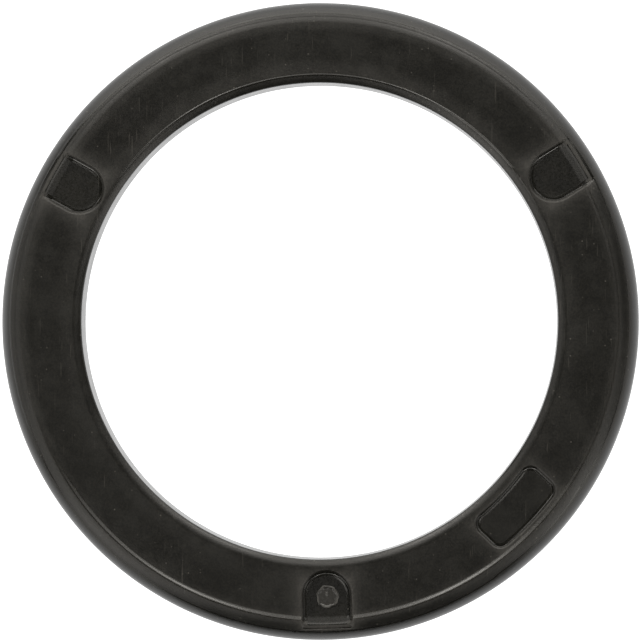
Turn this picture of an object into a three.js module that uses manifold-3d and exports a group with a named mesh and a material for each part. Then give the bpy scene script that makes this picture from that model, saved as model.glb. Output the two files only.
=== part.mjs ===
// Coil spring insulator: a moulded rubber ring with a pressed steel stiffening ring inside it.
// Millimetres, +Z up. The ring lies flat with its recessed seat face up.
// The origin is the centre of its back face.

import * as THREE from 'three';
import { mergeVertices } from 'three/addons/utils/BufferGeometryUtils.js';
import Module from 'manifold-3d';

// ---- driving dimensions ----

const OUTER_RADIUS = 80;
const BORE_RADIUS = 59.5;
const THICKNESS = 12;
const OUTER_ROUND = 4.5; // quarter round from the rim of the seat face to the outer wall
const RIM_STEP = 0.35; // the seat face lies this far below the rim around it
const RIM_STEP_RUN = 0.9; // radial length of the slope up to the rim
const LIP_RADIUS = 62.1; // where the seat face ends and the inner lip starts
const LIP_ROUND = 4; // radius of the shallow curve that the lip falls away on
const LIP_EDGE = 0.2; // plan width of the small bevel between the lip and the bore
const BACK_CHAMFER = 0.6;

const COVER = 0.8; // rubber over the core, and so the depth of the windows
const CORE_THICKNESS = 2;
const CORE_INNER_RADIUS = 61.6;
const CORE_OUTER_RADIUS = 78.5;
const CORE_RISE = 0.45; // the core's top follows the seat face up to the rim
const CORE_RISE_START = 73.9;
const CORE_BEND = 2.4; // outer radius of the turned-down edge
const CORE_FLANGE_BOTTOM = 5;
const GAP = 0.3; // clearance left between rubber and steel
const CUT_PAST = 1; // how far a cutting solid runs past the face it opens

const WINDOW_ANGLES = [31.5, 151.2, 271.5]; // degrees counter-clockwise from +X
const WINDOW_HALF_WIDTH = 6.2;
const WINDOW_INNER_END = 62.7; // radius at the tip of the round end
const WINDOW_OUTER_END = 77.1; // radius at the straight end

const MARK_ANGLE = 316.5;
const MARK_INNER_RADIUS = 62.9;
const MARK_OUTER_RADIUS = 73.4;
const MARK_HALF_LENGTH = 11.1;
const MARK_CORNER = 3;
const MARK_DEPTH = 0.6;

const PLUG_WINDOW = 2; // which window holds the gate plug
const PLUG_OFFSET_ANGLE = 0.2; // degrees past the window's centre line
const PLUG_CENTRE_RADIUS = 69.1;
const PLUG_RADIUS = 2.8;
const PLUG_RIM = 0.5; // width of the raised rim
const PLUG_HEIGHT = 0.4; // rim above the window's floor
const PLUG_HOLLOW = 0.2; // middle of the plug below its rim
const PLUG_SIDES = 20;

const RING_SEGMENTS = 72;
const ROUND_STEPS = 6;
const BEND_STEPS = 4;
const LIP_STEPS = 3;
const ARC_STEPS = 8;
const WELD = 1e-4; // vertices this close are one

// ---- derived heights and radii ----

const seatZ = THICKNESS - RIM_STEP;
const coreTopZ = seatZ - COVER;
const coreBottomZ = coreTopZ - CORE_THICKNESS;
const rimRadius = OUTER_RADIUS - OUTER_ROUND;
const lipRun = LIP_RADIUS - BORE_RADIUS - LIP_EDGE;
const lipTurn = Math.asin(lipRun / LIP_ROUND); // how far the lip's curve turns
const lipDrop = LIP_ROUND * (1 - Math.cos(lipTurn)) + 2 * LIP_EDGE; // to the top of the bore's wall
const quarter = Math.PI / 2;
const degrees = Math.PI / 180;

// ---- outlines in the (radius, height) plane ----

// Points along a circular arc, its angles turning from straight out (0) towards straight up (a right angle).
function arc(centreR, centreZ, radius, fromAngle, toAngle, steps) {
  const points = [];
  for (let i = 0; i <= steps; i += 1) {
    const angle = fromAngle + ((toAngle - fromAngle) * i) / steps;
    points.push(new THREE.Vector2(centreR + radius * Math.cos(angle), centreZ + radius * Math.sin(angle)));
  }
  return points;
}

// The rubber ring's section, anticlockwise from the inner edge of the back face.
function jacketSection() {
  return [
    new THREE.Vector2(BORE_RADIUS + BACK_CHAMFER, 0),
    new THREE.Vector2(OUTER_RADIUS - BACK_CHAMFER, 0),
    new THREE.Vector2(OUTER_RADIUS, BACK_CHAMFER),
    ...arc(rimRadius, THICKNESS - OUTER_ROUND, OUTER_ROUND, 0, quarter, ROUND_STEPS),
    new THREE.Vector2(rimRadius - RIM_STEP_RUN, seatZ),
    ...arc(LIP_RADIUS, seatZ - LIP_ROUND, LIP_ROUND, quarter, quarter + lipTurn, LIP_STEPS),
    new THREE.Vector2(BORE_RADIUS, seatZ - lipDrop),
    new THREE.Vector2(BORE_RADIUS, BACK_CHAMFER),
  ];
}

// The core's section grown by `grow` all round: a flat ring that rises near its outer edge and then turns down.
function coreSection(grow) {
  const bendR = CORE_OUTER_RADIUS - CORE_BEND;
  const bendZ = coreTopZ + CORE_RISE - CORE_BEND;
  const outside = CORE_BEND + grow;
  const inside = CORE_BEND - CORE_THICKNESS - grow;
  return [
    new THREE.Vector2(CORE_INNER_RADIUS - grow, coreBottomZ - grow),
    new THREE.Vector2(CORE_RISE_START, coreBottomZ - grow),
    ...arc(bendR, bendZ, inside, quarter, 0, BEND_STEPS),
    new THREE.Vector2(bendR + inside, CORE_FLANGE_BOTTOM - grow),
    new THREE.Vector2(bendR + outside, CORE_FLANGE_BOTTOM - grow),
    ...arc(bendR, bendZ, outside, 0, quarter, BEND_STEPS),
    new THREE.Vector2(CORE_RISE_START, coreTopZ + grow),
    new THREE.Vector2(CORE_INNER_RADIUS - grow, coreTopZ + grow),
  ];
}

// ---- solids ----

const wasm = await Module();
wasm.setup();

// A closed geometry as a solid, with only its positions kept.
function solid(geometry) {
  geometry.deleteAttribute('normal');
  geometry.deleteAttribute('uv');
  const merged = mergeVertices(geometry, WELD);
  const mesh = new wasm.Mesh({
    numProp: 3,
    vertProperties: new Float32Array(merged.attributes.position.array),
    triVerts: new Uint32Array(merged.index.array),
  });
  return new wasm.Manifold(mesh);
}

function geometryOf(manifold) {
  const mesh = manifold.getMesh();
  const geometry = new THREE.BufferGeometry();
  geometry.setAttribute('position', new THREE.BufferAttribute(mesh.vertProperties, 3));
  geometry.setIndex(new THREE.BufferAttribute(mesh.triVerts, 1));
  geometry.computeVertexNormals();
  return geometry;
}

// A closed section turned about the ring's own upright axis.
function ring(section) {
  const closed = [...section, section[0].clone()];
  const geometry = new THREE.LatheGeometry(closed, RING_SEGMENTS);
  geometry.rotateX(quarter);
  return solid(geometry);
}

// A flat outline, its +X pointing out along the ring's radius, made a solid between two heights.
function prism(shape, angle, fromZ, toZ) {
  const geometry = new THREE.ExtrudeGeometry(shape, {
    depth: toZ - fromZ,
    bevelEnabled: false,
    curveSegments: ARC_STEPS,
  });
  geometry.translate(0, 0, fromZ);
  geometry.rotateZ(angle * degrees);
  return solid(geometry);
}

// A window's outline: a half circle at its inner end, parallel sides and a straight outer end.
function windowShape() {
  const w = WINDOW_HALF_WIDTH;
  const centre = WINDOW_INNER_END + w;
  const shape = new THREE.Shape();
  shape.moveTo(WINDOW_OUTER_END, -w);
  shape.lineTo(WINDOW_OUTER_END, w);
  shape.lineTo(centre, w);
  shape.absarc(centre, 0, w, quarter, 3 * quarter, false);
  return shape;
}

// The marking recess: long sides that follow the ring, parallel ends and rounded corners.
function markShape() {
  const c = MARK_CORNER;
  const inner = MARK_INNER_RADIUS;
  const outer = MARK_OUTER_RADIUS;
  const half = MARK_HALF_LENGTH;
  const rise = (radius, y) => Math.sqrt(radius * radius - y * y);
  const outerX = rise(outer, half - c);
  const innerX = rise(inner, half - c);
  const outerTurn = Math.atan2(half - c, outerX);
  const innerTurn = Math.atan2(half - c, innerX);
  const shape = new THREE.Shape();
  shape.moveTo(outerX, -(half - c));
  shape.absarc(0, 0, outer, -outerTurn, outerTurn, false);
  shape.quadraticCurveTo(rise(outer, half), half, outerX - c, half);
  shape.lineTo(innerX + c, half);
  shape.quadraticCurveTo(rise(inner, half), half, innerX, half - c);
  shape.absarc(0, 0, inner, innerTurn, -innerTurn, true);
  shape.quadraticCurveTo(rise(inner, half), -half, innerX + c, -half);
  shape.lineTo(outerX - c, -half);
  shape.quadraticCurveTo(rise(outer, half), -half, outerX, -(half - c));
  return shape;
}

// A round section that starts and ends on its own axis, turned and set where the gate is.
function atGate(section) {
  const geometry = new THREE.LatheGeometry(section, PLUG_SIDES);
  const angle = (WINDOW_ANGLES[PLUG_WINDOW] + PLUG_OFFSET_ANGLE) * degrees;
  geometry.rotateX(quarter);
  geometry.translate(PLUG_CENTRE_RADIUS, 0, 0);
  geometry.rotateZ(angle);
  return solid(geometry);
}

// Rubber that rose through the core's hole, rooted in the rubber below it, with a shallow dished head.
function gatePlug() {
  const root = coreBottomZ - 2 * GAP;
  const rim = coreTopZ + PLUG_HEIGHT;
  return atGate([
    new THREE.Vector2(0, root),
    new THREE.Vector2(PLUG_RADIUS, root),
    new THREE.Vector2(PLUG_RADIUS, rim),
    new THREE.Vector2(PLUG_RADIUS - PLUG_RIM, rim),
    new THREE.Vector2(PLUG_RADIUS - 2 * PLUG_RIM, rim - PLUG_HOLLOW),
    new THREE.Vector2(0, rim - PLUG_HOLLOW),
  ]);
}

function gateHole() {
  const radius = PLUG_RADIUS + GAP;
  return atGate([
    new THREE.Vector2(0, coreBottomZ - CUT_PAST),
    new THREE.Vector2(radius, coreBottomZ - CUT_PAST),
    new THREE.Vector2(radius, coreTopZ + CUT_PAST),
    new THREE.Vector2(0, coreTopZ + CUT_PAST),
  ]);
}

function rubberJacket() {
  let body = ring(jacketSection()).subtract(ring(coreSection(GAP)));
  for (const angle of WINDOW_ANGLES) {
    body = body.subtract(prism(windowShape(), angle, coreTopZ, THICKNESS + CUT_PAST));
  }
  const mark = prism(markShape(), MARK_ANGLE, seatZ - MARK_DEPTH, THICKNESS + CUT_PAST);
  return body.subtract(mark).add(gatePlug());
}

function steelCore() {
  return ring(coreSection(0)).subtract(gateHole());
}

// ---- the assembly ----

function piece(name, manifold, look) {
  const mesh = new THREE.Mesh(geometryOf(manifold), new THREE.MeshStandardMaterial(look));
  mesh.name = name;
  return mesh;
}

const insulator = new THREE.Group();
insulator.add(piece('rubber_jacket', rubberJacket(), { color: 0x1d1c1a, roughness: 0.45, metalness: 0 }));
insulator.add(piece('steel_core', steelCore(), { color: 0x191919, roughness: 0.5, metalness: 0.2 }));

export default insulator;
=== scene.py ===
"""Coil spring insulator: a moulded rubber ring bonded over a pressed steel stiffening ring.

The ring lies flat on a white table with its seat face up. Lengths are millimetres inside the shape
functions and become metres where a mesh is made. Angles run anticlockwise from +X, in radians.
"""

import bmesh
import bpy
import numpy as np
from mathutils import Matrix, Vector


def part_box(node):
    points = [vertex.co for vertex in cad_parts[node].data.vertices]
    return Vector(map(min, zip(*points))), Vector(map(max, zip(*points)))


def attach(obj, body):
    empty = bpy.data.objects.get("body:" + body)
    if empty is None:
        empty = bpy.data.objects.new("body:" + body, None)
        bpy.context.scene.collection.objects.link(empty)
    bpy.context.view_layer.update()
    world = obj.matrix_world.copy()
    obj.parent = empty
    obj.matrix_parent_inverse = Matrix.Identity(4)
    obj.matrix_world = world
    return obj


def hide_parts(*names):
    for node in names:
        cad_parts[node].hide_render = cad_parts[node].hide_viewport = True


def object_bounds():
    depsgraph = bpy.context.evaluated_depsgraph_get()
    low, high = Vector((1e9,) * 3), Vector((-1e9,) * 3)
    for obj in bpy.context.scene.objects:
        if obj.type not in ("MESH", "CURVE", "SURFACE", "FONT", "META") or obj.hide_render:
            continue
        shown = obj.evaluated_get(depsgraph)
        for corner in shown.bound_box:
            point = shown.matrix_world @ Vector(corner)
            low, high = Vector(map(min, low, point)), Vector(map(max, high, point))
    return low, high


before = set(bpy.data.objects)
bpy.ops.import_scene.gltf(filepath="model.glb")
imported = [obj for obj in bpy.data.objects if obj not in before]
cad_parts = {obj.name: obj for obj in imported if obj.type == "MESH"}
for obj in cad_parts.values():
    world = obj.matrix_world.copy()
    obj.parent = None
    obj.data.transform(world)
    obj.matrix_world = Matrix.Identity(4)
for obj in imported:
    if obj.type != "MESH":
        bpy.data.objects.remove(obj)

MM = 0.001
TAU = 2 * np.pi
QUARTER = np.pi / 2
cad_low, cad_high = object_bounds()
core_low, core_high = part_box("steel_core")

# ---- sizes in millimetres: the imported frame's, then the section's own ----

OUTER_RADIUS = cad_high.x / MM
THICKNESS = cad_high.z / MM
CORE_OUTER_RADIUS = core_high.x / MM
CORE_RISE = 0.45
CORE_TOP = core_high.z / MM - CORE_RISE
CORE_BOTTOM = core_low.z / MM

BORE_RADIUS = 59.3
BORE_DRAFT = 0.45
OUTER_ROUND = 5.15
RIM_STEP = 0.35
RIM_FOOT = 73.75
RIM_CREST = 75.15
RIM_SINK = 0.52
RIM_WANDER = 0.05
WEAR_START = 72.6
WEAR_END = 77.8
LIP_RADIUS = 62.05
LIP_ROUND = 4.5
LIP_EDGE = 0.2
LIP_RISE = 0.05
LIP_RISE_END = 66.3
BACK_ROUND = 0.6
WALL_FOOT = 3.0
ROUND_RADIUS = OUTER_RADIUS - OUTER_ROUND
SEAT = THICKNESS - RIM_STEP
FLASH_RADIUS = 61.8
FLASH_HEIGHT = 0.13
FLASH_WIDTH = 0.15
RIPPLE_HEIGHT = 0.012

CORE_THICKNESS = 2.0
CORE_UNDER = CORE_TOP - CORE_THICKNESS
CORE_INNER_RADIUS = 61.6
CORE_RISE_START = 73.95
CORE_KNEE = 75.7
CORE_KNEE_RISE = 0.3
CORE_BEND = 2.4
CORE_BEND_RADIUS = CORE_OUTER_RADIUS - CORE_BEND
CORE_RISE_END = 75.95
BOND = 0.01

WINDOW_ANGLES = np.radians([31.7, 151.1, 271.5])
WINDOW_HALF_WIDTH = 6.25
WINDOW_INNER_END = 62.68
WINDOW_OUTER_END = 77.2
WINDOW_CORNER = 0.6

MARK_ANGLE = np.radians(316.5)
MARK_INNER = 62.95
MARK_OUTER = 73.3
MARK_HALF_LENGTH = 10.85
MARK_CORNER = 3.0
MARK_DEPTH = 0.6
MARK_BOTTOM = SEAT - MARK_DEPTH

GATE_ANGLE = np.radians(271.7)
GATE_CENTRE = 69.1
GATE_RADIUS = 2.8
GATE_HOLE = 2.85
GATE_REACH = 4.0


# ---- heights over the plan ----

def smooth(low, high, x):
    """A soft step from 0 below low to 1 above high."""
    t = np.clip((x - low) / (high - low), 0, 1)
    return t * t * (3 - 2 * t)


def ripple(angle, turns, phases):
    """A sum of slow waves round the ring, between -1 and 1."""
    return sum(np.sin(n * angle + p) for n, p in zip(turns, phases)) / len(turns)


def angle_from(angle, centre):
    return np.mod(angle - centre + np.pi, TAU) - np.pi


def flash_line(r, angle):
    """The low trimmed bead where the mould halves met at the lip, on the far side of the ring only."""
    side = smooth(np.radians(68), np.radians(44), np.abs(angle_from(angle, np.radians(84))))
    ragged = 0.8 + 0.3 * ripple(angle, (41, 67, 113, 29), (0.4, 2.1, 1.3, 4.0))
    return FLASH_HEIGHT * side * ragged * np.exp(-(((r - FLASH_RADIUS) / FLASH_WIDTH) ** 2))


def rim_wear(angle):
    """How worn the step up to the rim is: 0 on the near side of the ring, where it is crisp, half on
    the right, and 1 on the far side and the left, where the face falls away to the outer round."""
    near = smooth(np.radians(75), np.radians(48), np.abs(angle_from(angle, -QUARTER)))
    right = smooth(np.radians(50), np.radians(25), np.abs(angle_from(angle, 0.0)))
    return 1 - np.maximum(near, 0.5 * right)


def rubber_height(r, angle):
    """Upper face of the rubber, outwards: the lip's arc, a slight fall to the flat seat, a slope that
    steepens up to the rim's crest, or a gentle fall where the rim is worn, and then the quarter
    circle of the outer edge, with slow ripples about a hundredth of a millimetre high."""
    lip = np.sqrt(LIP_ROUND**2 - (LIP_RADIUS - np.minimum(r, LIP_RADIUS)) ** 2) - LIP_ROUND
    lip = lip + LIP_RISE * smooth(LIP_RISE_END, LIP_RADIUS, r)
    wander = RIM_WANDER * ripple(angle, (3, 7, 11), (0.2, 1.9, 3.1))
    t = np.clip((r + wander - RIM_FOOT) / (RIM_CREST - RIM_FOOT), 0, 1) ** 1.3
    worn = rim_wear(angle)
    rise = (1 - worn) * RIM_STEP * smooth(0, 1, t)
    rise -= worn * (RIM_SINK - RIM_STEP) * smooth(WEAR_START, WEAR_END, r)
    over = np.clip(r - ROUND_RADIUS, 0, OUTER_ROUND)
    outer = np.sqrt(OUTER_ROUND**2 - over**2) - OUTER_ROUND
    face = smooth(62.5, 64.5, r) * smooth(74.4, 72.5, r)
    wave = RIPPLE_HEIGHT * face * ripple(angle + 0.03 * r, (5, 13, 23, 31), (1.0, 0.3, 2.2, 5.0))
    return SEAT + lip + rise + outer + wave + flash_line(r, angle)


def straight_slope(low, high, r, soft=0.04):
    """A straight rise from 0 at low to 1 at high, rounded over a length of about soft at its ends."""
    start = np.logaddexp(0, (r - low) / soft)
    end = np.logaddexp(0, (r - high) / soft)
    return soft * (start - end) / (high - low)


def core_rise(r):
    """The steel's rise: a long gentle slope, then a short steeper one up to the bend."""
    gentle = CORE_KNEE_RISE * straight_slope(CORE_RISE_START, CORE_KNEE, r)
    return gentle + (CORE_RISE - CORE_KNEE_RISE) * straight_slope(CORE_KNEE, CORE_RISE_END, r)


def core_height(r, angle):
    """Upper face of the steel: flat, a rise that follows the rim, then the turned-down edge."""
    over = np.clip(r - CORE_BEND_RADIUS, 0, CORE_BEND)
    bend = np.sqrt(CORE_BEND**2 - over**2) - CORE_BEND
    return CORE_TOP + core_rise(r) + bend + 0 * angle


def core_underside(r, angle):
    return CORE_UNDER + 0 * r * angle


def mark_floor(r, angle):
    return MARK_BOTTOM + 0 * r * angle


def lifted(height, by):
    return lambda r, angle: height(r, angle) + by


# ---- outlines in plan: chains of straight lines and arcs ----

def arc(radius, turn):
    return (abs(radius * turn), turn)


def stride(heading, bend, run):
    """The step made by running along an arc of that bend, and the heading at its end."""
    straight = np.abs(bend) < 1e-9
    safe = np.where(straight, 1, bend)
    end = heading + bend * run
    x = np.where(straight, run * np.cos(heading), (np.sin(end) - np.sin(heading)) / safe)
    y = np.where(straight, run * np.sin(heading), (np.cos(heading) - np.cos(end)) / safe)
    return np.stack([x, y], -1), end


def walk(start, moves, s):
    """Points and outward normals at distances s along a chain of moves (length, turn), which goes
    anticlockwise from a start on the outline's inner side, heading sideways."""
    length, turn = np.array(moves).T
    begins = np.concatenate([[0], np.cumsum(length)])
    headings = -QUARTER + np.concatenate([[0], np.cumsum(turn)])
    bend = turn / length
    corners = [np.array([start, 0.0])]
    for k in range(len(moves)):
        corners.append(corners[k] + stride(headings[k], bend[k], length[k])[0])
    s = np.mod(s, begins[-1])
    k = np.clip(np.searchsorted(begins, s, side="right") - 1, 0, len(moves) - 1)
    step, facing = stride(headings[k], bend[k], s - begins[k])
    return np.array(corners)[k] + step, np.stack([np.sin(facing), -np.cos(facing)], -1)


def window_moves():
    """A window's outline from the tip of its round end: half circle, straight sides, square end."""
    side = WINDOW_OUTER_END - WINDOW_CORNER - (WINDOW_INNER_END + WINDOW_HALF_WIDTH)
    return [
        arc(WINDOW_HALF_WIDTH, QUARTER),
        (side, 0),
        arc(WINDOW_CORNER, QUARTER),
        (2 * (WINDOW_HALF_WIDTH - WINDOW_CORNER), 0),
        arc(WINDOW_CORNER, QUARTER),
        (side, 0),
        arc(WINDOW_HALF_WIDTH, QUARTER),
    ]


def mark_moves():
    """The marking recess from the middle of its inner side: long sides round the ring's axis,
    parallel ends and round corners."""
    reach = MARK_HALF_LENGTH - MARK_CORNER
    inner, outer = MARK_INNER + MARK_CORNER, MARK_OUTER - MARK_CORNER
    inner_turn, outer_turn = np.arcsin(reach / inner), np.arcsin(reach / outer)
    end = outer * np.cos(outer_turn) - inner * np.cos(inner_turn)
    return [
        arc(MARK_INNER, -inner_turn),
        arc(MARK_CORNER, QUARTER + inner_turn),
        (end, 0),
        arc(MARK_CORNER, QUARTER - outer_turn),
        arc(MARK_OUTER, 2 * outer_turn),
        arc(MARK_CORNER, QUARTER - outer_turn),
        (end, 0),
        arc(MARK_CORNER, QUARTER + inner_turn),
        arc(MARK_INNER, -inner_turn),
    ]


# ---- meshes from grids ----

WELD = 3e-7
CREASE = np.radians(40)


class Skin:
    """Grids of points gathered into one closed mesh."""

    def __init__(self):
        self.points, self.faces, self.count = [], [], 0

    def grid(self, points, keep=None):
        """Adds a grid whose columns close on themselves. keep says which cells are filled; the last
        row joins the first only where keep fills it."""
        rows, columns = points.shape[:2]
        index = np.arange(rows * columns).reshape(rows, columns) + self.count
        right = np.roll(index, -1, axis=1)
        quads = np.stack([index, right, np.roll(right, -1, axis=0), np.roll(index, -1, axis=0)], -1)
        if keep is None:
            keep = np.ones((rows, columns), bool)
            keep[-1] = False
        self.points.append(points.reshape(-1, 3))
        self.faces.append(quads[keep])
        self.count += rows * columns

    def build(self, name):
        """The gathered grids as an object: touching points joined and the faces turned outwards."""
        mesh = bpy.data.meshes.new(name)
        used, faces = np.unique(np.concatenate(self.faces), return_inverse=True)
        mesh.from_pydata(np.concatenate(self.points)[used] * MM, [], faces.reshape(-1, 4).tolist())
        work = bmesh.new()
        work.from_mesh(mesh)
        bmesh.ops.remove_doubles(work, verts=work.verts, dist=WELD)
        bmesh.ops.recalc_face_normals(work, faces=work.faces)
        work.to_mesh(mesh)
        work.free()
        mesh.shade_smooth()
        mesh.set_sharp_from_angle(angle=CREASE)
        piece = bpy.data.objects.new(name, mesh)
        bpy.context.scene.collection.objects.link(piece)
        return piece


class Sector:
    """A stretch of the ring between two radii and two angles, given over to a recess or a hole."""

    def __init__(self, angle, half_angle, radii, columns):
        self.angle, self.half, self.radii, self.columns = angle, half_angle, radii, columns
        side = np.full(len(radii) - 1, half_angle)
        across = np.linspace(-half_angle, half_angle, columns + 1)
        r = [radii[:-1], np.full(columns, radii[-1]), radii[:0:-1], np.full(columns, radii[0])]
        a = [-side, across[:-1], side, across[:0:-1]]
        rise = (radii - radii[0]) / (radii[-1] - radii[0])
        over = np.arange(columns) / columns
        self.loop_r, self.loop_a = np.concatenate(r), np.concatenate(a)
        self.loop_at = np.concatenate([rise[:-1], 1 + over, 3 - rise[:0:-1], 3 + over])

    def angles(self):
        return self.angle + np.linspace(-self.half, self.half, self.columns + 1)

    def edge(self):
        """The loop round the sector in its own plan axes, outwards and sideways: up one side, along
        the outer row, down the other side and back along the inner row."""
        return np.stack([self.loop_r * np.cos(self.loop_a), self.loop_r * np.sin(self.loop_a)], -1)

    def at_radius(self, r):
        return (r - self.radii[0]) / (self.radii[-1] - self.radii[0])

    def match(self, total, places, distances):
        """Distances along an outline for each point of the loop. places run from -0.5, the middle
        of the inner row, through 0 and 1, the ends of a side, to 1.5, the middle of the outer row;
        the other half is the mirror image."""
        places = np.concatenate([places, 3 - np.array(places)[::-1][1:]])
        distances = np.concatenate([distances, total - np.array(distances)[::-1][1:]])
        at = np.where(self.loop_at > 3.5, self.loop_at - 4, self.loop_at)
        return np.interp(at, places, distances)

    def stand(self, plan, height):
        """Plan points lifted to a height function and turned to the sector's place on the ring."""
        x, y = plan[..., 0], plan[..., 1]
        r, a = np.hypot(x, y), np.arctan2(y, x) + self.angle
        return np.stack([r * np.cos(a), r * np.sin(a), height(r, a)], -1)


def between(inner, outer, count, first=0.3):
    """Loops from an outline to an edge, leaving out the outline itself, closer near the outline."""
    t = np.linspace(0, 1, count + 1)[1:]
    t = (first * t + (1 - first) * t**1.8)[:, None, None]
    return inner[None] * (1 - t) + outer[None] * t


SIDE_WALL = {"foot": 0.15, "top": 0.45, "draft": np.radians(38), "bead": 0.07}
END_WALL = {"foot": 0.05, "top": 0.15, "draft": np.radians(14), "bead": 0.01}
END_WALL_FROM, END_WALL_TO = 76.0, 77.1


def wall_profile(depth, foot, top, draft, bead, steps=5):
    """A recess wall from its floor to the face above it: a low bead where the rubber ends, a foot
    fillet, a sloped wall and a rounded top edge. Gives the sideways distance, centred on the wall,
    and the share of the depth."""
    a = np.linspace(0, QUARTER - draft, steps)
    b = np.linspace(QUARTER - draft, 0, steps + 1)
    c = np.array([-0.85, -0.65, -0.45, -0.30, -0.20, -0.14, -0.10, -0.05])
    start = np.stack([c, bead * smooth(-0.90, -0.20, c) * smooth(0, -0.20, c)], -1)
    low = np.stack([foot * np.sin(a), foot * (1 - np.cos(a))], -1)
    high = np.stack([-top * np.sin(b), depth - top * (1 - np.cos(b))], -1)
    width = low[-1, 0] + (high[0, 1] - low[-1, 1]) * np.tan(draft) - high[0, 0]
    high[:, 0] += width
    profile = np.concatenate([start, low, high])
    return profile[:, 0] - width / 2, profile[:, 1] / depth


def recess_wall(sector, outline, normals, profile, floor, face):
    """Loops up a recess's wall: each is the outline moved sideways, at a height shared between the
    floor's height function and the face's. A profile may differ from point to point."""
    loops = []
    for out, share in zip(*profile):
        plan = outline + normals * np.reshape(out, (-1, 1))
        share = np.reshape(share, (-1, 1))
        low, high = sector.stand(plan, floor), sector.stand(plan, face)
        loops.append(low * (1 - share) + high * share)
    return np.array(loops), plan


# ---- rows and columns ----

def turned(section, angles):
    """A section of (radius, height) points turned to each angle."""
    r, z = section[:, 0, None], section[:, 1, None]
    return np.stack([r * np.cos(angles), r * np.sin(angles), z + 0 * angles], -1)


def bow(centre_r, centre_z, radius, start, end, steps):
    """Points along a circular arc in the section, without its last point."""
    a = np.linspace(start, end, steps + 1)[:-1]
    return np.stack([centre_r + radius * np.cos(a), centre_z + radius * np.sin(a)], -1)


def line(start, end, steps):
    """Points along a straight line in the section, without its last point."""
    t = np.arange(steps)[:, None] / steps
    return np.array(start) * (1 - t) + np.array(end) * t


def chain(*spans):
    """Rising radii from (start, end, steps) spans that follow on from each other."""
    parts = [np.linspace(low, high, steps + 1)[:-1] for low, high, steps in spans]
    return np.concatenate([*parts, [spans[-1][1]]])


def over_bend(centre, radius, end, steps):
    """Radii over a rounded edge, evenly spaced round its arc, without the first."""
    return centre + radius * np.sin(np.linspace(0, np.arcsin((end - centre) / radius), steps + 1))[1:]


SECTOR_INNER = 61.3
SECTOR_OUTER = 78.7
CAVITY_INNER = 62.0
CAVITY_OUTER = 78.1
CAVITY_BEND_STEPS = 12
RISE_ROWS_START = 73.6
RISE_ROWS_MIDDLE = 75.6
RISE_STEPS = 8
MARK_SECTOR_OUTER = 74.4
SEAT_SPACING = np.radians(1.0)
CORE_SPACING = np.radians(3.0)
WINDOW_HALF = np.radians(6.7)
CAVITY_HALF = np.radians(6.5)
MARK_HALF = np.radians(11.2)
WINDOW_COLUMNS = 30
MARK_COLUMNS = 46

seat_radii = chain(
    (SECTOR_INNER, 61.5, 1),
    (61.5, 62.3, 11),
    (62.3, 73.5, 22),
    (73.5, 75.3, 14),
    (75.3, 76.2, 3),
    (76.2, SECTOR_OUTER, 9),
)
rise_spans = (
    (RISE_ROWS_START, RISE_ROWS_MIDDLE, RISE_STEPS),
    (RISE_ROWS_MIDDLE, CORE_BEND_RADIUS, RISE_STEPS),
)
flat_steps = len(seat_radii) - 1 - 2 * RISE_STEPS - CAVITY_BEND_STEPS
cavity_radii = np.concatenate([
    chain((CAVITY_INNER, RISE_ROWS_START, flat_steps), *rise_spans),
    over_bend(CORE_BEND_RADIUS, CORE_BEND, CAVITY_OUTER, CAVITY_BEND_STEPS),
])
gate_radii = np.linspace(GATE_CENTRE - GATE_REACH, GATE_CENTRE + GATE_REACH, 25)
last_mark = int(np.argmin(abs(seat_radii - MARK_SECTOR_OUTER)))

window_sectors = [Sector(a, WINDOW_HALF, seat_radii, WINDOW_COLUMNS) for a in WINDOW_ANGLES]
mark_sector = Sector(MARK_ANGLE, MARK_HALF, seat_radii[: last_mark + 1], MARK_COLUMNS)
cavity_sectors = [Sector(a, CAVITY_HALF, cavity_radii, WINDOW_COLUMNS) for a in WINDOW_ANGLES]
gate_sector = Sector(WINDOW_ANGLES[2], cavity_sectors[2].half, gate_radii, WINDOW_COLUMNS)
gate_turn = GATE_ANGLE - WINDOW_ANGLES[2]
gate_place = GATE_CENTRE * np.array([np.cos(gate_turn), np.sin(gate_turn)])


def shell(skin, section, sectors, spacing, top_rows=None):
    """A section turned all the way round, leaving out the spans of rows that each sector lists.
    Column angles are each sector's own, with even ones between. Rows named in top_rows take the
    rubber's height, and the outer wall before them sinks where the rim is worn."""
    order = sorted(sectors, key=lambda item: item[0].angle)
    angles, starts, count = [], [], 0
    for k, (sector, _) in enumerate(order):
        following = order[(k + 1) % len(order)][0]
        after = following.angle - following.half + (TAU if k == len(order) - 1 else 0)
        gap = after - sector.angle - sector.half
        steps = max(2, round(gap / spacing))
        starts.append(count)
        angles += [sector.angles()[:-1], sector.angle + sector.half + gap * np.arange(steps) / steps]
        count += sector.columns + steps
    angles = np.concatenate(angles)
    points = turned(section, angles)
    keep = np.ones((len(section), len(angles)), bool)
    if top_rows is not None:
        r = section[top_rows, 0, None]
        points[top_rows, :, 2] = rubber_height(r + 0 * angles, angles + 0 * r)
        wall = points[: top_rows.start, :, 2]
        wall -= RIM_SINK * rim_wear(angles) * smooth(WALL_FOOT, THICKNESS - OUTER_ROUND, wall)
    for start, (sector, spans) in zip(starts, order):
        for first, last in spans:
            keep[first:last, start : start + sector.columns] = False
    skin.grid(points, keep)


# ---- the rubber ring ----

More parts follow.
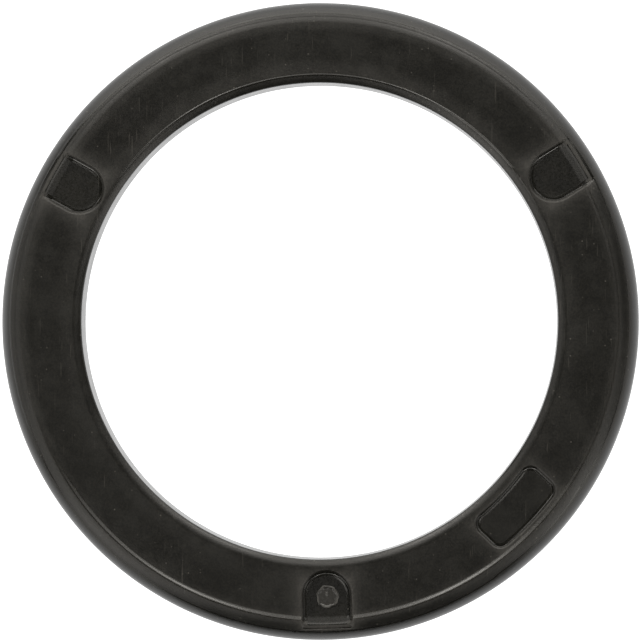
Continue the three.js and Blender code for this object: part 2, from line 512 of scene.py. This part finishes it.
def seat_section():
    """The rubber's outside from the back face's inner edge, outwards and over the top."""
    slope = np.arccos((SECTOR_OUTER - ROUND_RADIUS) / OUTER_ROUND)
    bore_edge = BORE_RADIUS + BORE_DRAFT
    lip = np.linspace(SECTOR_INNER, bore_edge + LIP_EDGE, 7)[1:]
    top = np.concatenate([seat_radii[::-1], lip])
    bore_top = rubber_height(lip[-1], 0.0) - 2 * LIP_EDGE
    outside = np.concatenate([
        line((BORE_RADIUS + BACK_ROUND, 0), (OUTER_RADIUS - BACK_ROUND, 0), 12),
        bow(OUTER_RADIUS - BACK_ROUND, BACK_ROUND, BACK_ROUND, -QUARTER, 0, 5),
        line((OUTER_RADIUS, BACK_ROUND), (OUTER_RADIUS, THICKNESS - OUTER_ROUND), 7),
        bow(ROUND_RADIUS, THICKNESS - OUTER_ROUND, OUTER_ROUND, 0, slope, 9),
    ])
    inside = np.concatenate([
        bow(bore_edge + LIP_EDGE, bore_top, LIP_EDGE, 0.7 * np.pi, np.pi, 3),
        line((bore_edge, bore_top), (BORE_RADIUS, BACK_ROUND), 8),
        bow(BORE_RADIUS + BACK_ROUND, BACK_ROUND, BACK_ROUND, np.pi, 3 * QUARTER, 5),
    ])
    section = np.concatenate([outside, np.stack([top, 0 * top], -1), inside])
    return section, len(outside), slice(len(outside), len(outside) + len(top))


def core_section(grow, top_radii, under_radii):
    """The pressed ring's section, grown by that much all round: its top outwards and over the bend,
    down the flange, up inside it and back underneath."""
    bend_z = CORE_TOP + CORE_RISE - CORE_BEND
    outer, inner = CORE_OUTER_RADIUS + grow, CORE_OUTER_RADIUS - CORE_THICKNESS - grow
    bottom, edge = CORE_BOTTOM - grow, CORE_INNER_RADIUS - grow
    last = np.arccos((top_radii[-1] - CORE_BEND_RADIUS) / (CORE_BEND + grow))
    under = np.concatenate([
        np.linspace(CORE_BEND_RADIUS - 0.1, RISE_ROWS_START, 12),
        under_radii[::-1],
        np.linspace(under_radii[0], edge, 5)[1:],
    ])
    section = np.concatenate([
        np.stack([top_radii, core_height(top_radii, 0) + grow], -1),
        bow(CORE_BEND_RADIUS, bend_z, CORE_BEND + grow, last, 0, 4)[1:],
        line((outer, bend_z), (outer, bottom), 3),
        line((outer, bottom), (inner, bottom), 2),
        line((inner, bottom), (inner, bend_z), 3),
        bow(CORE_BEND_RADIUS, bend_z, inner - CORE_BEND_RADIUS, 0, QUARTER, 3),
        np.stack([under, core_rise(under) + CORE_UNDER - grow], -1),
        [[edge, CORE_UNDER + 0.5 * CORE_THICKNESS]],
    ])
    below = section[:, 1] < CORE_UNDER + 0.1
    return section, int(np.argmax((section[:, 0] == under_radii[-1]) & below))


def window_loops(sector, cavity):
    """A window: the cavity's roof in to the foot of the wall, the wall, and out over the seat."""
    moves = window_moves()
    total = sum(m[0] for m in moves)
    half_round = QUARTER * WINDOW_HALF_WIDTH
    side = moves[1][0]
    corner = moves[2][0]
    at = sector.at_radius
    middle = WINDOW_INNER_END + WINDOW_HALF_WIDTH
    places = [-0.5, 0, at(np.hypot(middle, WINDOW_HALF_WIDTH)), at(76.3), at(78.0), 1, 1.07, 1.5]
    distances = [
        0,
        0.45 * half_round,
        half_round,
        half_round + np.sqrt(76.3**2 - WINDOW_HALF_WIDTH**2) - middle,
        half_round + side,
        half_round + side + 0.5 * corner,
        half_round + side + corner,
        total / 2,
    ]
    outline, normals = walk(WINDOW_INNER_END, moves, sector.match(total, places, distances))
    roof = lifted(core_height, BOND)
    long_wall = wall_profile(SEAT - CORE_TOP, **SIDE_WALL)
    end_wall = wall_profile(SEAT - CORE_TOP, **END_WALL)
    share = smooth(END_WALL_FROM, END_WALL_TO, outline[:, 0])
    profile = [a[:, None] * (1 - share) + b[:, None] * share for a, b in zip(long_wall, end_wall)]
    wall, top_plan = recess_wall(sector, outline, normals, profile, roof, rubber_height)
    foot_plan = outline + normals * profile[0][0][:, None]
    below = cavity.stand(between(foot_plan, cavity.edge(), 6, first=1), roof)[::-1]
    above = sector.stand(between(top_plan, sector.edge(), 9), rubber_height)
    return np.concatenate([below, wall, above])


def mark_loops(sector):
    """The marking recess: its plain floor from the middle outwards, its wall, and out to the edge."""
    moves = mark_moves()
    total = sum(m[0] for m in moves)
    reach = np.cumsum([m[0] for m in moves])
    at = sector.at_radius
    places = [-0.5, 0, at(65.8), at(70.6), 1, 1.5]
    inner_corner = reach[0] + 0.42 * moves[1][0]
    outer_corner = reach[2] + 0.55 * moves[3][0]
    distances = [0, inner_corner, reach[1], reach[2], outer_corner, total / 2]
    outline, normals = walk(MARK_INNER, moves, sector.match(total, places, distances))
    profile = wall_profile(MARK_DEPTH, **SIDE_WALL)
    wall, top_plan = recess_wall(sector, outline, normals, profile, mark_floor, rubber_height)
    foot_plan = outline + normals * profile[0][0]
    middle = np.array([0.5 * (MARK_INNER + MARK_OUTER), 0]) + 0 * foot_plan
    shares = np.linspace(0, 1, 13)[:-1, None, None]
    floor = sector.stand(middle[None] * (1 - shares) + foot_plan[None] * shares, mark_floor)
    above = sector.stand(between(top_plan, sector.edge(), 5, first=0.8), rubber_height)
    return np.concatenate([floor, wall, above])


def gate_circle(radius):
    """A circle round the gate matched to its sector's edge, and its outward directions."""
    total = TAU * radius
    places, distances = [-0.5, 0, 1, 1.5], [0, total / 8, 3 * total / 8, total / 2]
    circle, out = walk(-radius, [arc(radius, TAU)], gate_sector.match(total, places, distances))
    return circle + gate_place, out


def gate_loops():
    """The gate plug: from the cavity's floor in to the stem, up the core's hole, then a head with a
    low uneven seven-sided rim round a rough hollow and a small nub."""
    circle, out = gate_circle(GATE_RADIUS)
    under = lifted(core_underside, -BOND)
    floor = gate_sector.stand(between(circle, gate_sector.edge(), 5, first=1), under)[::-1]
    turn = np.arctan2(out[:, 1], out[:, 0])
    uneven = 0.10 * np.cos(7 * turn + 0.6) + 0.05 * np.cos(3 * turn + 1.9) + 0.03 * np.sin(13 * turn)
    rim = np.array([
        (2.80, 0.02, 0.2), (2.90, 0.05, 1.0), (2.88, 0.16, 1.0), (2.78, 0.27, 1.0), (2.66, 0.33, 1.0),
        (2.52, 0.34, 1.0), (2.40, 0.29, 1.0), (2.30, 0.21, 0.9), (2.18, 0.15, 0.8), (2.00, 0.12, 0.6),
        (1.70, 0.11, 0.4), (1.40, 0.12, 0.3), (1.10, 0.13, 0.2), (0.80, 0.15, 0.1), (0.50, 0.16, 0.0),
        (0.25, 0.17, 0.0), (0.00, 0.17, 0.0),
    ])
    stem_heights = np.linspace(CORE_UNDER - BOND, CORE_TOP, 5)
    loops = [gate_sector.stand(circle, lambda r, a: z + 0 * r) for z in stem_heights]
    for radius, height, share in rim:
        around = out * (radius + uneven * share)[:, None]
        plan = gate_place + around
        ragged = 1 + 0.22 * np.sin(5 * turn + 2.0) * (radius > 2.2)
        grit = 0.025 * np.sin(3.1 * around[:, 0] + 1) * np.sin(4.3 * around[:, 1]) * (radius < 2.2)
        nub = 0.22 * np.exp(-((around[:, 0] + 0.68) ** 2 + (around[:, 1] + 0.12) ** 2) / 0.05)
        top = CORE_TOP + height * ragged + grit + nub
        loops.append(gate_sector.stand(plan, lambda r, a: top))
    return np.concatenate([floor, np.array(loops)])


def make_jacket():
    """The moulded ring: its outside shell and the shell of the cavity the core fills, joined through
    the three windows, with the marking recess above and the gate plug rising from the cavity's floor."""
    skin = Skin()
    section, first, top_rows = seat_section()
    rows = len(seat_radii) - 1
    mark_row = first + rows - last_mark
    openings = [(s, [(first, first + rows)]) for s in window_sectors]
    openings.append((mark_sector, [(mark_row, mark_row + last_mark)]))
    shell(skin, section, openings, SEAT_SPACING, top_rows)
    top_radii = np.concatenate([np.linspace(CORE_INNER_RADIUS - BOND, CAVITY_INNER, 3)[:-1], cavity_radii])
    cavity, under = core_section(BOND, top_radii, gate_radii)
    openings = [(s, [(2, 2 + rows)]) for s in cavity_sectors]
    openings[2][1].append((under, under + len(gate_radii) - 1))
    shell(skin, cavity, openings, CORE_SPACING)
    for sector, below in zip(window_sectors, cavity_sectors):
        skin.grid(window_loops(sector, below))
    skin.grid(mark_loops(mark_sector))
    skin.grid(gate_loops())
    return skin.build("rubber_ring")


def hole_loops():
    """The core's gate hole: its upper face in to the hole's edge, down the hole, and out underneath."""
    circle, _ = gate_circle(GATE_HOLE)
    rim = between(circle, gate_sector.edge(), 5, first=1)
    heights = np.linspace(CORE_TOP, CORE_UNDER, 5)
    wall = np.array([gate_sector.stand(circle, lambda r, a: z + 0 * r) for z in heights])
    top = gate_sector.stand(rim, core_height)[::-1]
    return np.concatenate([top, wall, gate_sector.stand(rim, core_underside)])


def make_core():
    """The pressed ring, flat on top with its outer edge turned down, and the hole the gate filled."""
    skin = Skin()
    top_radii = np.concatenate([
        chain((CORE_INNER_RADIUS, gate_radii[0], 3), (gate_radii[0], gate_radii[-1], len(gate_radii) - 1)),
        chain((gate_radii[-1], RISE_ROWS_START, 1), *rise_spans)[1:],
        over_bend(CORE_BEND_RADIUS, CORE_BEND, CORE_OUTER_RADIUS - 0.1, 14),
    ])
    section, under = core_section(0, top_radii, gate_radii)
    rows = len(gate_radii) - 1
    openings = [(s, []) for s in cavity_sectors]
    openings[2] = (gate_sector, [(3, 3 + rows), (under, under + rows)])
    shell(skin, section, openings, CORE_SPACING)
    skin.grid(hole_loops())
    return skin.build("pressed_core")


jacket = make_jacket()
core = make_core()
for piece, node, finish in [(jacket, "rubber_jacket", "rubber"), (core, "steel_core", "coated_steel")]:
    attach(piece, "root")
    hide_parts(node)


# ---- node trees ----

class Tree:
    """Short calls for adding nodes to a tree and joining them."""

    def __init__(self, tree):
        self.tree = tree

    def add(self, kind, inputs=None, **settings):
        node = self.tree.nodes.new(kind)
        for name, value in settings.items():
            setattr(node, name, value)
        for key, value in (inputs or {}).items():
            if isinstance(value, bpy.types.NodeSocket):
                self.tree.links.new(value, node.inputs[key])
            else:
                node.inputs[key].default_value = value
        return node

    def maths(self, operation, a, b=0.0, c=0.0):
        return self.add("ShaderNodeMath", {0: a, 1: b, 2: c}, operation=operation).outputs[0]

    def ramp(self, value, low, high, to_low=0.0, to_high=1.0):
        inputs = {"Value": value, "From Min": low, "From Max": high, "To Min": to_low, "To Max": to_high}
        return self.add("ShaderNodeMapRange", inputs, interpolation_type="SMOOTHSTEP").outputs[0]

    def noise(self, vector, size_mm, detail=2.0, rough=0.5):
        inputs = {"Vector": vector, "Scale": 1 / (size_mm * MM), "Detail": detail, "Roughness": rough}
        return self.add("ShaderNodeTexNoise", inputs).outputs[0]

    def mix(self, factor, a, b):
        """Colour a where factor is 0 and colour b where it is 1."""
        return self.add("ShaderNodeMix", {0: factor, 6: a, 7: b}, data_type="RGBA").outputs[2]


def new_group(name, inputs, outputs):
    """An empty shader node group with number or vector sockets, and its tree, ins and outs."""
    group = bpy.data.node_groups.new(name, "ShaderNodeTree")
    for label, kind, value in inputs:
        made = group.interface.new_socket(name=label, in_out="INPUT", socket_type=kind)
        if kind == "NodeSocketFloat":
            made.default_value = value
    for label in outputs:
        group.interface.new_socket(name=label, in_out="OUTPUT", socket_type="NodeSocketFloat")
    tree = Tree(group)
    return group, tree, tree.add("NodeGroupInput").outputs, tree.add("NodeGroupOutput").inputs


def grain_group():
    """Moulding grain and slow unevenness. Cloud is a soft blotch, Grain a fine tooth, both about
    0 to 1, and Height adds them by their depths in metres."""
    inputs = [
        ("Vector", "NodeSocketVector", None),
        ("Cloud Depth", "NodeSocketFloat", 0.00001),
        ("Grain Depth", "NodeSocketFloat", 0.00001),
    ]
    group, tree, ins, outs = new_group("moulded_grain", inputs, ["Cloud", "Grain", "Height"])
    cloud = tree.noise(ins["Vector"], 8, detail=7, rough=0.7)
    grain = tree.noise(ins["Vector"], 0.5, detail=2, rough=0.6)
    lift = tree.maths("MULTIPLY", cloud, ins["Cloud Depth"])
    height = tree.maths("MULTIPLY_ADD", grain, ins["Grain Depth"], lift)
    for name, value in (("Cloud", cloud), ("Grain", grain), ("Height", height)):
        tree.tree.links.new(value, outs[name])
    return group


def scratch_group():
    """Hair scratches: three sets of noise drawn out long and thin at different turns, kept only
    where it peaks and where a broad blotch allows. Amount is the share that shows."""
    inputs = [("Vector", "NodeSocketVector", None), ("Amount", "NodeSocketFloat", 0.5)]
    group, tree, ins, outs = new_group("hair_scratches", inputs, ["Scratches"])
    total = 0.0
    for turn, shift in ((0.35, 0.0), (1.45, 0.31), (2.5, 0.77)):
        placed = tree.add("ShaderNodeMapping", {
            "Vector": ins["Vector"],
            "Location": (shift, shift * 0.6, 0),
            "Rotation": (0, 0, turn),
            "Scale": (1, 0.05, 1),
        }).outputs[0]
        line_noise = tree.noise(placed, 0.45, detail=1)
        patch = tree.noise(placed, 2.6, detail=2)
        peak = tree.ramp(line_noise, 0.68, 0.74)
        here = tree.ramp(patch, 0.52, 0.64)
        total = tree.maths("MULTIPLY_ADD", peak, here, total)
    tree.tree.links.new(tree.maths("MULTIPLY", total, ins["Amount"]), outs["Scratches"])
    return group


def speck_group():
    """Pale specks of dust and bloom: a dot near the middle of some cells of a cell pattern."""
    inputs = [
        ("Vector", "NodeSocketVector", None),
        ("Cells Per Metre", "NodeSocketFloat", 300.0),
        ("Radius", "NodeSocketFloat", 0.1),
        ("Share", "NodeSocketFloat", 0.3),
    ]
    group, tree, ins, outs = new_group("dust_specks", inputs, ["Specks"])
    cells = tree.add("ShaderNodeTexVoronoi", {"Vector": ins["Vector"], "Scale": ins["Cells Per Metre"]})
    pick = tree.add("ShaderNodeSeparateColor", {0: cells.outputs["Color"]})
    near = tree.maths("DIVIDE", cells.outputs["Distance"], ins["Radius"])
    dot = tree.ramp(near, 1.0, 0.4)
    chosen = tree.maths("LESS_THAN", pick.outputs[0], ins["Share"])
    strength = tree.maths("MULTIPLY_ADD", pick.outputs[1], 0.7, 0.3)
    shown = tree.maths("MULTIPLY", tree.maths("MULTIPLY", dot, chosen), strength)
    tree.tree.links.new(shown, outs["Specks"])
    return group


grain_nodes = grain_group()
scratch_nodes = scratch_group()
speck_nodes = speck_group()


def new_material(name):
    material = bpy.data.materials.new(name)
    material.use_nodes = True
    material.node_tree.nodes.clear()
    tree = Tree(material.node_tree)
    place = tree.add("ShaderNodeTexCoord").outputs["Object"]
    return material, tree, place


def place_group(tree, group, inputs):
    return tree.add("ShaderNodeGroup", inputs, node_tree=group).outputs


def finish_material(tree, shader):
    tree.add("ShaderNodeOutputMaterial", {"Surface": shader})


def glossy_surface(tree, colour, rough, height):
    """The Principled shader that both materials end in, with the grain's height as bump."""
    bump = tree.add("ShaderNodeBump", {"Height": height, "Distance": 1.0, "Strength": 1.0})
    shader = tree.add("ShaderNodeBsdfPrincipled", {
        "Base Color": colour,
        "Roughness": rough,
        "Normal": bump.outputs[0],
        "IOR": 1.5,
        "Specular IOR Level": 0.5,
    })
    finish_material(tree, shader.outputs[0])


RUBBER_DARK = (0.0030, 0.0029, 0.0021, 1)
RUBBER_LIGHT = (0.0085, 0.0080, 0.0060, 1)
# Pale haze colour: bloom, and the painted sheen near the lip's far side.
BLOOM_AND_SHEEN = (0.030, 0.028, 0.024, 1)
DUST = (0.085, 0.080, 0.070, 1)
TRIMMED = (0.16, 0.155, 0.145, 1)
RUBBER_ROUGHNESS = 0.28
POLISHED_ROUGHNESS = 0.15


def rubber_material():
    """Moulded rubber: near-black, half gloss and polished at its tight bends, with blotches, bloom with a
    painted sheen near the lip's far side, hair scratches, dust and the paler trimmed line at the lip and on
    the gate's head."""
    material, tree, place = new_material("moulded_rubber")
    grain = place_group(tree, grain_nodes, {"Vector": place, "Cloud Depth": 0.000012, "Grain Depth": 0.00001})
    scratches = place_group(tree, scratch_nodes, {"Vector": place, "Amount": 0.8})["Scratches"]
    specks = place_group(tree, speck_nodes, {
        "Vector": place, "Cells Per Metre": 700.0, "Radius": 0.18, "Share": 0.16,
    })["Specks"]
    trimmed, polish, bloom_and_sheen, dull = [
        tree.add("ShaderNodeAttribute", attribute_name=name).outputs["Fac"]
        for name in ("trimmed", "polish", "bloom_and_sheen", "dull")
    ]
    blotch = tree.ramp(grain["Cloud"], 0.38, 0.66)
    tooth = tree.ramp(grain["Grain"], 0.36, 0.64)
    light = tree.maths("MULTIPLY_ADD", blotch, 0.35, tree.maths("MULTIPLY", tooth, 0.75))
    # The haze mixes in a paler colour: bloom everywhere it lies, and near the lip's far side a painted sheen.
    hazy_and_sheen = tree.maths("MULTIPLY", bloom_and_sheen, tree.maths("MULTIPLY_ADD", tooth, 0.5, 0.6))
    colour = tree.mix(light, RUBBER_DARK, RUBBER_LIGHT)
    colour = tree.mix(hazy_and_sheen, colour, BLOOM_AND_SHEEN)
    colour = tree.mix(tree.maths("MULTIPLY", scratches, 0.35), colour, DUST)
    colour = tree.mix(tree.maths("MULTIPLY", specks, 0.8), colour, DUST)
    colour = tree.mix(trimmed, colour, TRIMMED)
    matt = tree.maths("MULTIPLY_ADD", blotch, 0.05, RUBBER_ROUGHNESS)
    matt = tree.maths("MULTIPLY_ADD", bloom_and_sheen, 0.2, matt)
    matt = tree.maths("MULTIPLY_ADD", dull, 0.04, matt)
    rough = tree.ramp(polish, 0, 1, matt, POLISHED_ROUGHNESS)
    glossy_surface(tree, colour, rough, grain["Height"])
    return material


def core_material():
    """The core's black bonding coat: a little smoother than the rubber, with fewer marks."""
    material, tree, place = new_material("bonded_coat")
    grain = place_group(tree, grain_nodes, {"Vector": place, "Cloud Depth": 0.00001, "Grain Depth": 0.000005})
    specks = place_group(tree, speck_nodes, {
        "Vector": place, "Cells Per Metre": 400.0, "Radius": 0.12, "Share": 0.12,
    })["Specks"]
    blotch = tree.ramp(grain["Cloud"], 0.35, 0.68)
    colour = tree.mix(blotch, RUBBER_DARK, RUBBER_LIGHT)
    colour = tree.mix(tree.maths("MULTIPLY", specks, 0.8), colour, DUST)
    rough = tree.ramp(grain["Grain"], 0.3, 0.7, 0.26, 0.34)
    glossy_surface(tree, colour, rough, grain["Height"])
    return material


def vertex_places(mesh):
    at = np.empty(3 * len(mesh.vertices))
    mesh.vertices.foreach_get("co", at)
    return at.reshape(-1, 3) / MM


def vertex_normals(mesh):
    normals = np.empty(3 * len(mesh.vertices))
    mesh.vertices.foreach_get("normal", normals)
    return normals.reshape(-1, 3)


def sharpness(mesh):
    """How tightly the surface bends at each vertex, per millimetre, above 0 where it is hollow and
    below 0 where it stands out: the mean over its edges of the turn of the normal along the edge."""
    at, normals = vertex_places(mesh), vertex_normals(mesh)
    ends = np.empty(2 * len(mesh.edges), int)
    mesh.edges.foreach_get("vertices", ends)
    a, b = ends.reshape(-1, 2).T
    along = at[b] - at[a]
    length = np.maximum(np.linalg.norm(along, axis=1), 0.02)
    turn = np.sum((normals[a] - normals[b]) * along, axis=1) / length**2
    total, count = np.zeros(len(at)), np.zeros(len(at))
    for end in (a, b):
        np.add.at(total, end, turn)
        np.add.at(count, end, 1)
    return total / np.maximum(count, 1)


HALO_REACH = 1.5


def halo(plan_x, plan_y, angle, half_width, near, far):
    """How close a point lies to a recess's edge, 1 at the edge: the recess is taken as a box with one
    end at each radius."""
    c, s = np.cos(angle), np.sin(angle)
    out, side = plan_x * c + plan_y * s, plan_y * c - plan_x * s
    gap_out = np.maximum(np.maximum(near - out, out - far), 0)
    gap_side = np.maximum(np.abs(side) - half_width, 0)
    return np.exp(-np.hypot(gap_out, gap_side) / HALO_REACH)


def add_attribute(mesh, name, values):
    values = np.clip(values, 0, 1).astype(np.float32)
    mesh.attributes.new(name, "FLOAT", "POINT").data.foreach_set("value", values)


def mark_wear(piece):
    """Point attributes of the finish. trimmed: the flash line and the gate's torn head. polish: tight hollow
    bends that the mould left glossy. dull: the outer round. bloom_and_sheen: the dusty haze near the rim and
    round the recesses, and near the lip a faint haze with a painted sheen on top that grows towards the far
    side of the ring, where the lamps stand."""
    mesh = piece.data
    x, y, z = vertex_places(mesh).T
    r, angle = np.hypot(x, y), np.arctan2(y, x)
    line_mask = flash_line(r, angle) / FLASH_HEIGHT * (z > SEAT - 0.5)
    gate_x, gate_y = GATE_CENTRE * np.cos(GATE_ANGLE), GATE_CENTRE * np.sin(GATE_ANGLE)
    gate_off = np.hypot(x - gate_x, y - gate_y)
    head = smooth(3.2, 3.0, gate_off) * (z > CORE_TOP + 0.015)
    add_attribute(mesh, "trimmed", 0.1 * line_mask + 0.12 * head)
    bend = sharpness(mesh)
    slope = smooth(73.9, 74.2, r) * smooth(75.4, 75.0, r) * (z > SEAT - 0.1)
    slope = slope * (1 - rim_wear(angle))
    window_foot = smooth(0.012, 0.03, z - CORE_TOP) * smooth(0.3, 0.15, z - CORE_TOP)
    mark_foot = smooth(0.005, 0.02, z - MARK_BOTTOM) * smooth(0.3, 0.15, z - MARK_BOTTOM)
    in_mark = np.abs(angle_from(angle, MARK_ANGLE)) < mark_sector.half
    foot = np.where(in_mark, mark_foot, window_foot)
    polish = smooth(0.25, 0.8, bend) + 0.65 * slope + line_mask + foot
    add_attribute(mesh, "dull", smooth(75.0, 76.0, r))
    add_attribute(mesh, "polish", np.clip(polish, 0, 1) * (1 - head))
    # Near the lip the haze is painted sheen as well as bloom: it grows towards the far side, where the lamps
    # stand.
    far_side = 0.5 + 0.5 * np.cos(angle - QUARTER)
    haze_and_sheen = (0.05 + 0.2 * far_side) * smooth(67.0, 62.5, r) * smooth(61.9, 62.3, r)
    haze_and_sheen += 0.2 * smooth(72.5, 74.5, r) * smooth(76.2, 75.2, r)
    for window in WINDOW_ANGLES:
        haze_and_sheen += 0.9 * halo(x, y, window, WINDOW_HALF_WIDTH, WINDOW_INNER_END + 2, WINDOW_OUTER_END)
    haze_and_sheen += 0.5 * halo(x, y, MARK_ANGLE, MARK_HALF_LENGTH, MARK_INNER, MARK_OUTER)
    add_attribute(mesh, "bloom_and_sheen", haze_and_sheen * (z > CORE_TOP + 0.3))


mark_wear(jacket)
jacket.data.materials.append(rubber_material())
core.data.materials.append(core_material())


# ---- the table, the light and the camera ----

TABLE_HALF = 4.0
TABLE_DROP = 0.0002
TABLE_GLOW = 1.5
WORLD_GREY = 0.05


def make_table():
    """A white table that glows enough to print as plain white, and can be seen through from below."""
    mesh = bpy.data.meshes.new("table")
    corners = [(x * TABLE_HALF, y * TABLE_HALF, -TABLE_DROP) for x, y in ((-1, -1), (1, -1), (1, 1), (-1, 1))]
    mesh.from_pydata(corners, [], [(0, 1, 2, 3)])
    table = bpy.data.objects.new("table", mesh)
    bpy.context.scene.collection.objects.link(table)
    material, tree, _ = new_material("white_table")
    shader = tree.add("ShaderNodeBsdfPrincipled", {
        "Base Color": (0.05, 0.05, 0.05, 1),
        "Roughness": 0.9,
        "Specular IOR Level": 0.0,
        "Emission Color": (1, 1, 1, 1),
        "Emission Strength": TABLE_GLOW,
    })
    clear = tree.add("ShaderNodeBsdfTransparent")
    behind = tree.add("ShaderNodeNewGeometry").outputs["Backfacing"]
    either = tree.add("ShaderNodeMixShader", {0: behind, 1: shader.outputs[0], 2: clear.outputs[0]})
    finish_material(tree, either.outputs[0])
    mesh.materials.append(material)


LAMP_TINT = (1.0, 0.965, 0.905)
BANK_DISTANCE = 1.6


def softbox(name, azimuth, zenith, distance, size, radiance):
    """An area light facing the ring. azimuth runs clockwise from +Y and zenith down from upright,
    in degrees; radiance is what a mirror would show."""
    a, t = np.radians(azimuth), np.radians(zenith)
    away = Vector((np.sin(a) * np.sin(t), np.cos(a) * np.sin(t), np.cos(t)))
    light = bpy.data.lights.new(name, "AREA")
    light.shape = "RECTANGLE"
    light.color = LAMP_TINT
    light.size, light.size_y = size
    light.energy = 4 * radiance * size[0] * size[1]
    lamp = bpy.data.objects.new(name, light)
    lamp.location = distance * away
    lamp.rotation_mode = "QUATERNION"
    lamp.rotation_quaternion = away.to_track_quat("Z", "Y")
    lamp.visible_camera = False
    bpy.context.scene.collection.objects.link(lamp)


def softbank(name, azimuth, half_width, panels):
    """A bank of softboxes one above another, each spanning the same azimuths. Each panel gives the
    zenith angles of its upper and lower edges, in degrees, and its radiance."""
    for number, (high, low, radiance) in enumerate(panels):
        zenith = 0.5 * (high + low)
        width = 2 * BANK_DISTANCE * np.sin(np.radians(zenith)) * np.tan(np.radians(half_width))
        height = 2 * BANK_DISTANCE * np.tan(np.radians(0.5 * (low - high)))
        softbox(f"{name}_{number}", azimuth, zenith, BANK_DISTANCE, (width, height), radiance)


def make_world(grey):
    """Dim grey all round, and plain white where the camera looks past the table."""
    world = bpy.data.worlds.new("studio")
    world.use_nodes = True
    world.node_tree.nodes.clear()
    tree = Tree(world.node_tree)
    seen = tree.add("ShaderNodeLightPath").outputs["Is Camera Ray"]
    dim = tree.add("ShaderNodeBackground", {"Color": (grey, grey, grey, 1)})
    white = tree.add("ShaderNodeBackground", {"Color": (1, 1, 1, 1)})
    either = tree.add("ShaderNodeMixShader", {0: seen, 1: dim.outputs[0], 2: white.outputs[0]})
    tree.add("ShaderNodeOutputWorld", {"Surface": either.outputs[0]})
    bpy.context.scene.world = world


def make_camera(place, aim, lens):
    data = bpy.data.cameras.new("camera")
    data.lens = lens
    data.clip_end = 100
    camera = bpy.data.objects.new("camera", data)
    camera.location = place
    back = (Vector(place) - Vector(aim)).normalized()
    side = Vector((0, 1, 0)).cross(back).normalized()
    camera.rotation_mode = "QUATERNION"
    camera.rotation_quaternion = Matrix((side, back.cross(side), back)).transposed().to_quaternion()
    bpy.context.scene.collection.objects.link(camera)
    bpy.context.scene.camera = camera


make_camera((0.090, -0.034, 2.4), (0.0, 0.00006, 0.0075), 535.0)
make_table()
make_world(WORLD_GREY)
softbank("upper_middle", 0, 17, ((19, 36, 1.5), (36, 60, 1.3), (60, 96, 2.1)))
softbank("upper_left", 327, 17, ((20, 36, 1.5), (36, 60, 1.4), (60, 96, 2.0)))
softbank("upper_right", 34, 17, ((22, 36, 1.2), (36, 60, 1.5), (60, 96, 1.5)))
softbank("lower_right", 126, 11, ((15, 38, 2.5), (38, 62, 2.2), (62, 96, 1.2)))
softbank("lower_left", 227, 14, ((16, 38, 2.4), (38, 62, 1.9), (62, 96, 0.9)))
softbank("left_wall", 272, 24, ((26, 50, 0.7), (50, 96, 0.72)))
softbank("right_wall", 85, 30, ((64, 96, 0.8),))
softbox("upper_left_lamp", 330, 42, 1.25, (0.14, 0.30), 8)
softbox("upper_right_lamp", 22, 42, 1.25, (0.22, 0.30), 5)
bpy.context.scene.view_settings.view_transform = "Standard"
